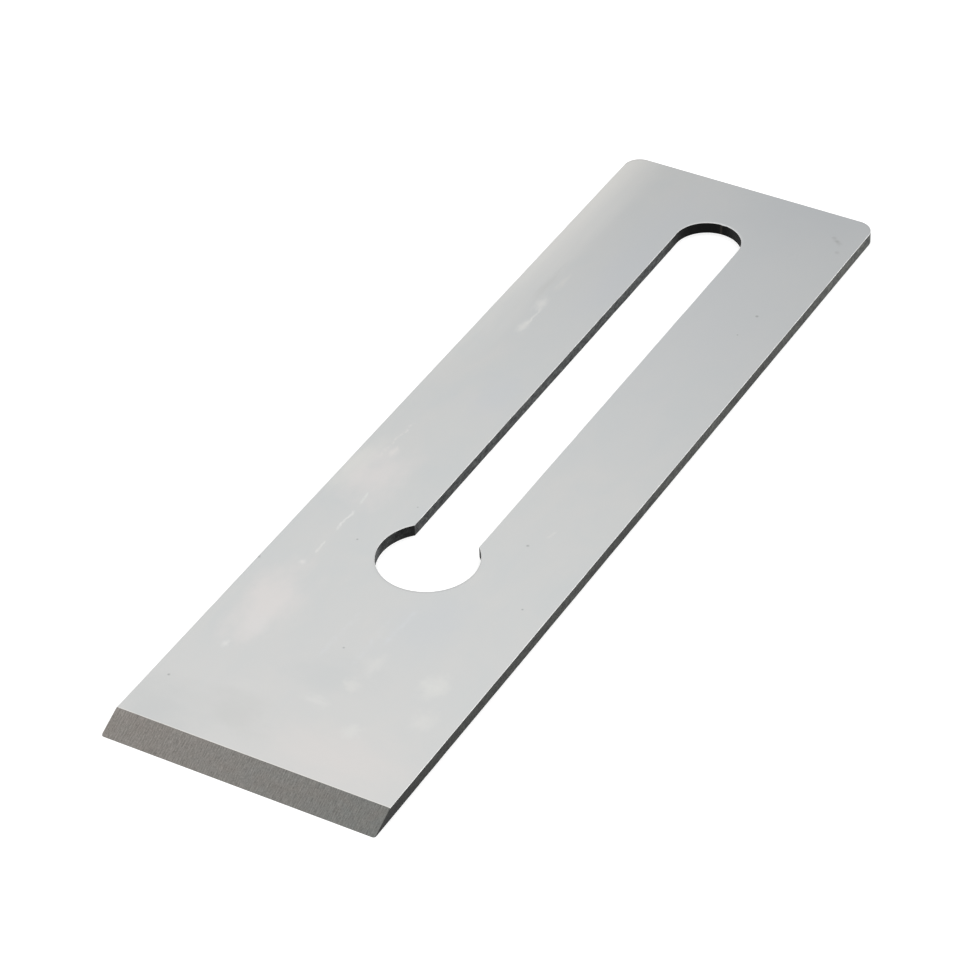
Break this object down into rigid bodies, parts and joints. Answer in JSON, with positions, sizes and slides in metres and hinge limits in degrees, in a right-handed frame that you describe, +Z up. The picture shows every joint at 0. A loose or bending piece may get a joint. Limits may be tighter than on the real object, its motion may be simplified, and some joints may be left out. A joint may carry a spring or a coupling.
{
  "type": "plane iron",
  "caption": "Flat bench-plane blade of ground steel, with a bevelled cutting edge, rounded back corners and a keyhole slot for a cap-iron screw.",
  "frame": {"origin": "on the plane of the flat back, under the middle of the blade's length and width", "axes": "X across the blade, +Y from the cutting edge towards the back end, +Z up from the flat back to the bevel side"},
  "size_m": [0.0508, 0.1818, 0.0023],
  "materials": {
    "ground_steel": "surface-ground satin faces, a bevel with grinding lines that run up to the cutting edge, dark rough side walls"
  },
  "bodies": {
    "root": {"plane_iron": "ground_steel"}
  },
  "joints": []
}
